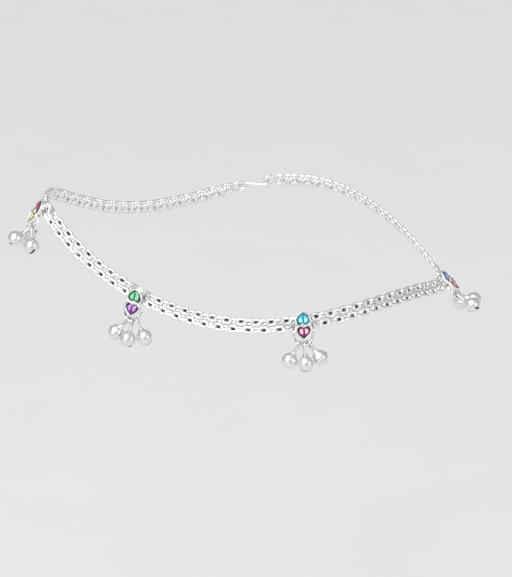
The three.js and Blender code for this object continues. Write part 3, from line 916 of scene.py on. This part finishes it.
def slit_ball():
    """Points of the outer and inner ball, and their faces without those of the slit. A wall
    joins an edge a-b of the outer ball to the same edge of the inner one, size numbers later."""
    grid = np.stack([ball_grid(BELL_RADIUS), ball_grid(BELL_RADIUS - BELL_WALL)])
    _, rows, columns, _ = grid.shape
    size = rows * columns
    angle = 360 * (np.arange(columns) + 0.5) / columns
    away = np.minimum(angle, 360 - angle)
    opened = np.maximum(away, np.roll(away, -1)) < np.degrees(np.arccos(BELL_SLIT_REACH))
    kept = np.ones((rows - 1, columns), bool)
    kept[rows // 2 - 1, opened] = False
    outside = list(grid_faces(rows, columns)[kept.ravel()]) + end_faces(rows, columns)
    inside = [face[::-1] + size for face in outside]
    here = np.flatnonzero(opened)
    start = np.flatnonzero(opened & ~np.roll(opened, 1))
    stop = np.flatnonzero(~opened & np.roll(opened, 1))
    first, second, after = (rows // 2 - 1) * columns, rows // 2 * columns, (here + 1) % columns
    a = np.concatenate([first + here, second + after, second + start, first + stop])
    b = np.concatenate([first + after, second + here, first + start, second + stop])
    walls = np.stack([a, b, b + size, a + size], axis=1)
    return grid, outside + inside + list(walls)


ball_points, ball_faces = slit_ball()
print("faces of a ball:", len(ball_faces))


# %% [markdown]
# A band covers the seam between the bell's two pressed halves, a neck widens into its top, and
# a loop of wire goes round the jump ring. Ready-made rings would give a plain band only, so
# band and neck are profiles of radius and height that go round the axis, as on a lathe. The
# loop's sides draw in to the neck, so it is a smooth line through a few points, not a circle.

# %% Bells
BELL_RIM_PROUD, BELL_RIM_HEIGHT = 0.1, 0.4
BELL_NECK_RADIUS, BELL_NECK_HEIGHT = 0.45, 0.5
LOOP_WIRE, LOOP_WIDTH, LOOP_PLAY, LOOP_REACH = 0.5, 2.1, 0.11, 2.5
LOOP_TOP = BELL_RADIUS + LOOP_REACH + RING_WIRE / 2 + LOOP_PLAY + LOOP_WIRE / 2
LOOP_RADIUS, LOOP_STOUT = (LOOP_WIDTH - LOOP_WIRE) / 2, 0.66
LOOP_POINTS, LOOP_SIDES, LATHE_STEPS = 41, 10, 40
LOOP_ARC, LOOP_ARC_STEP = 120, 30
BAND_SUNK, BAND_EDGE, BAND_SLOPE, BAND_GROOVE, GROOVE_HALF = 0.06, 0.04, 0.05, 0.05, 0.02
# Radius, and height from the top of the neck.
NECK = [(1.04, -0.88), (0.88, -0.66), (0.72, -0.46), (0.60, -0.24), (0.52, -0.04), (0.38, 0.08), (0.1, 0.1)]
# Strengths of painted shade on the band, the neck and the loop's inner side, then beside the slit, in the
# band's corners and at the neck's base.
BAND_DARK, NECK_DARK, LOOP_INNER_DARK = 0.1, 0.12, 0.72
SLIT_DARK, SLIT_DARK_REACH, SLIT_DARK_BELOW = 0.60, 0.34, -1.0
CORNER_DARK, CORNER_AT, CORNER_REACH = 0.85, 0.27, 0.12
NECK_BASE_DARK, NECK_BASE_REACH = 0.80, 0.16


def dark_on_ball(points):
    """Painted shade beside the slit, in the corners of the band and at the base of the neck: for each,
    e to the minus square of the distance over its reach, times a strength."""
    y, z = points[..., 1], points[..., 2]
    slit = np.exp(-((z / SLIT_DARK_REACH) ** 2)) * (y < SLIT_DARK_BELOW)
    band = np.exp(-(((np.abs(y) - CORNER_AT) / CORNER_REACH) ** 2))
    neck = np.exp(-(((y - BELL_RADIUS) / NECK_BASE_REACH) ** 2))
    return np.clip(SLIT_DARK * slit + CORNER_DARK * band + NECK_BASE_DARK * neck, 0, 1)


def band_profile():
    """Radius and height: out from inside the ball, up the lower half, and mirrored."""
    out, half = BELL_RADIUS + BELL_RIM_PROUD, BELL_RIM_HEIGHT / 2
    lower = [(BELL_RADIUS - BAND_SUNK, -half), (out - BAND_EDGE, -half)]
    lower += [(out, BAND_SLOPE - half), (out - GROOVE_HALF, -GROOVE_HALF)]
    return lower + [(out - BAND_GROOVE, 0)] + [(r, -h) for r, h in lower[::-1]]


def loop_path():
    """From the neck up one side, round the ring's wire and down the other side."""
    start, side = BELL_RADIUS + BELL_NECK_HEIGHT / 3, BELL_NECK_RADIUS / 3
    turn = np.radians(np.arange(-LOOP_ARC, LOOP_ARC + 1, LOOP_ARC_STEP))
    height = LOOP_TOP - LOOP_RADIUS + LOOP_RADIUS * np.cos(turn)
    arc = np.stack([0 * turn, height, LOOP_RADIUS * np.sin(turn)], axis=1)
    return spline(np.concatenate([[[0, start, -side]], arc, [[0, start, side]]]), LOOP_POINTS)


def bell_shell(pose):
    """The ball, its band and neck as radius x cosine and sine round the axis, and its loop."""
    shell = Shell()
    outer = dark_on_ball(ball_points[0])
    # The outer ball gets painted shade in its creases and beside its slit, and the inner ball is all
    # painted shade.
    shell.add(pose.point(ball_points), ball_faces, np.stack([outer, np.ones_like(outer)]))
    angle = 2 * np.pi * np.arange(LATHE_STEPS) / LATHE_STEPS
    neck = np.array(NECK) + [0, BELL_RADIUS + BELL_NECK_HEIGHT]
    for profile, depth, wrap in ((band_profile(), BAND_DARK, True), (neck, NECK_DARK, False)):
        r, h = np.hsplit(np.array(profile), 2)
        grid = np.stack([r * np.cos(angle), h + 0 * angle, -r * np.sin(angle)], axis=-1)
        shell.add_grid(pose.point(grid), depth, wrap_rows=wrap)
    path = loop_path()
    grid, section = wire(path, LOOP_STOUT / 2, LOOP_SIDES, np.array([1.0, 0, 0]))
    inward = facing(section, [0, LOOP_TOP - LOOP_RADIUS, 0] - path)
    shell.add_grid(pose.point(grid), np.clip(LOOP_INNER_DARK * inward, 0, 1))
    return shell


print("a bell reaches", round(BELL_RADIUS + LOOP_TOP, 1), "mm from its slit to the top of its loop")


# %% [markdown]
# The four stations
#
# Each row of the table below is one plate: its place on the loop, how it has turned, how steeply
# the ring hangs, and how the three bells spread. Measuring the CAD pieces would give the places
# too, but not the turns. These are the CAD model's own values, so each fine piece lies exactly
# where its plain one does.

# %% Build the stations
SIDES = ("left", "middle", "right")
# Place, yaw, drop as a share of the plate's height, turn, how far the ring hangs out, the bells'
# fans, swings and twists, and the two enamels. Angles are in degrees.
STATIONS = [
    (PLACES[0], -21, 0.36, 14, 11, (-24, 2, 50), (-6, 40, 0), (-15, 0, 15), "enamel_maroon", "enamel_lime"),
    (PLACES[1], 0, 0.28, 10, 6, (-28, 7, 43), (6, 22, 8), (-26, 3, 24), "enamel_green", "enamel_purple"),
    (PLACES[2], 0, 0.09, -4, 11, (-33, 0, 34), (2, 25, 0), (-26, 4, 26), "enamel_teal", "enamel_magenta"),
    (PLACES[3], 0, 0.17, -2, 12, (-30, 12, 32), (42, 38, -16), (-8, 0, 0), "enamel_blue", "enamel_red"),
]
for number, station in enumerate(STATIONS, start=1):
    place, yaw, drop, turn, hang, fans, swings, twists, upper_name, lower_name = station
    distance = place * CHAIN_LENGTH
    pose = pose_on_chain(distance).turned("y", yaw)
    plate_pose = pose.moved(0, -drop * PLATE_HEIGHT, 0).turned("z", turn)
    plate = plate_shell(distance, pose, plate_pose)
    finished(f"heart_plate_{number}", "cast", plate, plate_silver, sharp=50.0)
    halves = (("upper", upper_name, UPPER_FULLNESS), ("lower", lower_name, LOWER_FULLNESS))
    for half, slot, fullness in halves:
        pool = enamel_shell(plate_pose, half == "upper", fullness)
        finished(f"enamel_{half}_{number}", "glass", pool, enamels[slot], sharp=50.0)
    eye = plate_pose.moved(0, -EYE_BELOW_WAIST, PLATE_BACK - EYE_HOLE).turned("x", hang)
    ring_pose = eye.moved(0, -RING_RADIUS, 0)
    finished(f"jump_ring_{number}", "wire", ring_shell(ring_pose), wire_silver)
    for side, fan, swing, twist in zip(SIDES, fans, swings, twists):
        held = ring_pose.turned("z", fan).moved(0, -RING_RADIUS, 0).turned("x", -swing)
        bell = bell_shell(held.moved(0, -BELL_RADIUS - LOOP_REACH, 0).turned("y", twist))
        finished(f"bell_{number}_{side}", "hollow", bell, bell_silver, sharp=35.0)
    print("station", number, "at", np.round(pose.place, 1), "mm; points in a bell:", bell.count)

# %% [markdown]
# The hook
#
# The photograph doesn't show how the anklet closes. A lobster clasp is possible too, but a
# plain S of wire, with each end curled round the wire of an end eye, is the commonest way and
# claims the least. Both its tips are rounded off: the wire's radius there follows a circle.

# %% The closing hook
HOOK_WIRE, HOOK_PLAY = 0.8, 0.35
HOOK_POINTS, HOOK_SIDES = 97, 14
CURL_TIP, CURL_BACK, CURL_STEP = 50, 270, 44
TIP_STEPS, TIP_START = 3, 0.25
hook_radius = END_EYE_WIRE / 2 + HOOK_PLAY + HOOK_WIRE / 2
curl = np.radians(np.arange(CURL_TIP, CURL_BACK + 1, CURL_STEP))
x, z = hook_radius * np.cos(curl) - HOOK_REACH, hook_radius * np.sin(curl)
half_hook = np.stack([x, 0 * curl, z], axis=1)
hook_path = spline(np.concatenate([half_hook, -half_hook[::-1]]), HOOK_POINTS)
into_tip = 1 - np.clip((steps_from_end(HOOK_POINTS) + TIP_START) / TIP_STEPS, 0, 1)
hook_thickness = HOOK_WIRE / 2 * np.sqrt(1 - into_tip**2)
hook_grid, _ = wire(hook_path, hook_thickness, HOOK_SIDES, np.array([0, 1.0, 0]))
shell = Shell()
shell.add_grid(pose_on_chain(clasp).point(hook_grid))
finished("clasp_hook", "wire", shell, wire_silver)
print("hook reaches", round(float(np.ptp(hook_path[:, 0])), 1), "mm")

# %% [markdown]
# Floor, light and camera
#
# The anklet is held up, so the floor is far below it and takes only a faint shadow. A curved
# studio sheet would do the same. One large flat face is enough, because its edge is out of
# the picture, and a very faint mottle keeps it from looking like a plain fill.

# %% Floor
FLOOR_DEPTH, FLOOR_REACH = -0.11, 3.0
floor_mesh = bpy.data.meshes.new("floor")
signs = ((-1, -1), (1, -1), (1, 1), (-1, 1))
corners = [(x * FLOOR_REACH, y * FLOOR_REACH, FLOOR_DEPTH) for x, y in signs]
floor_mesh.from_pydata(corners, [], [(0, 1, 2, 3)])
paper = Finish("pale_floor")
paper_place = paper.node("TexCoord", output=3)
mottle = paper.noise(paper_place, 40.0, 3.0, 0.5)
paper_colour = paper.blend(mottle, (0.76, 0.76, 0.76, 1), (0.79, 0.79, 0.785, 1))
floor_mesh.materials.append(paper.surface(Base_Color=paper_colour, Roughness=0.9))
floor = bpy.data.objects.new("floor", floor_mesh)
bpy.context.scene.collection.objects.link(floor)
print("floor:", round(-FLOOR_DEPTH / MM), "mm below the middle of the loop")

# %% [markdown]
# Silver shows what is round it more than itself. Small lamps would give hard sparks and black
# links, so a pale surrounding lights everything, a very wide sun from above gives the bright
# tops, and two soft square lights in front give the bells and rims their highlights.

# %% Lights
STUDIO_COLOUR, STUDIO_STRENGTH = (0.95, 0.97, 1.0, 1), 0.50
SUN_STRENGTH, SUN_WIDTH, SUN_WAY = 1.5, np.radians(50.0), (0.35, 0.45, -1.0)
world = bpy.data.worlds.new("studio")
world.use_nodes = True
background = world.node_tree.nodes["Background"]
background.inputs["Color"].default_value = STUDIO_COLOUR
background.inputs["Strength"].default_value = STUDIO_STRENGTH
bpy.context.scene.world = world


def aimed(name, data, place, way):
    """An object at a place whose own -z points one way, and whose y points up."""
    made = bpy.data.objects.new(name, data)
    made.location = place
    made.rotation_mode = "QUATERNION"
    made.rotation_quaternion = Vector(way).to_track_quat("-Z", "Y")
    bpy.context.scene.collection.objects.link(made)
    return made


def soft_light(name, place, size, power):
    """A square light of some size that faces the middle of the anklet."""
    data = bpy.data.lights.new(name, "AREA")
    data.size, data.energy = size, power
    aimed(name, data, place, -Vector(place))


sun = bpy.data.lights.new("even_light", "SUN")
sun.energy, sun.angle = SUN_STRENGTH, SUN_WIDTH
aimed("even_light", sun, (0, 0, 0), SUN_WAY)
soft_light("light_front_left", (-0.50, -0.65, 0.40), size=0.30, power=2.0)
soft_light("light_front_right", (0.60, -0.45, 0.30), size=0.20, power=0.8)
print("lights:", len(bpy.data.lights))

# %% [markdown]
# The camera stands 20 degrees above the loop's middle plane and far away, as a long lens in a
# catalogue picture does. A nearer camera with a wider lens would widen the front of the loop.
# It is aimed a little beside and below the middle, so that the anklet has the photograph's
# place in the picture. The Standard view shows the colours as they are set, so white silver
# stays white.

# %% Camera
CAMERA_DISTANCE, ELEVATION = 600.0, np.radians(20.0)
PIXELS_LONG_SIDE, FOCAL_PIXELS, SENSOR = 577, 2447.0, 36.0
AIM_RIGHT, AIM_DOWN = 11.25, 42.3
data = bpy.data.cameras.new("camera")
data.sensor_width = SENSOR
data.lens = FOCAL_PIXELS * SENSOR / PIXELS_LONG_SIDE
data.clip_start, data.clip_end = 0.01, 20.0
forward = np.array([0, np.cos(ELEVATION), -np.sin(ELEVATION)])
above = np.array([0, np.sin(ELEVATION), np.cos(ELEVATION)])
right = np.array([1.0, 0, 0])
aim = unit(forward + right * AIM_RIGHT / FOCAL_PIXELS - above * AIM_DOWN / FOCAL_PIXELS)
bpy.context.scene.camera = aimed("camera", data, -forward * CAMERA_DISTANCE * MM, aim)
bpy.context.scene.view_settings.view_transform = "Standard"
print("lens:", round(data.lens, 1), "mm")
